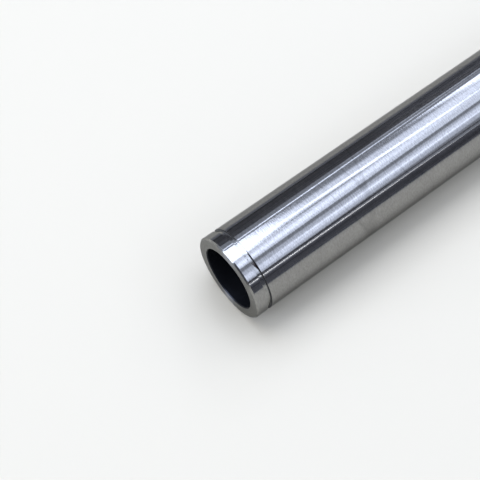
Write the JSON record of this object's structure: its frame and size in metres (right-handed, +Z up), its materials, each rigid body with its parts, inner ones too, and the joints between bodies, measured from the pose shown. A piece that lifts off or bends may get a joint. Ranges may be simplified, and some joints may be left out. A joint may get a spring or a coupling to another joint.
{
  "type": "kart axle",
  "caption": "Hollow steel kart axle: a ground round tube with chamfered ends and a snap-ring groove near each end.",
  "frame": {"origin": "on the axle's axis, at mid-length", "axes": "+Y along the axle, the line it turns about, as a wheel turns about +Y; +Z up, with the axle lying level"},
  "size_m": [0.03, 1, 0.03],
  "materials": {
    "ground_steel": "bright ground steel, fine lines round it"
  },
  "bodies": {
    "root": {"axle_tube": "ground_steel"}
  },
  "joints": []
}
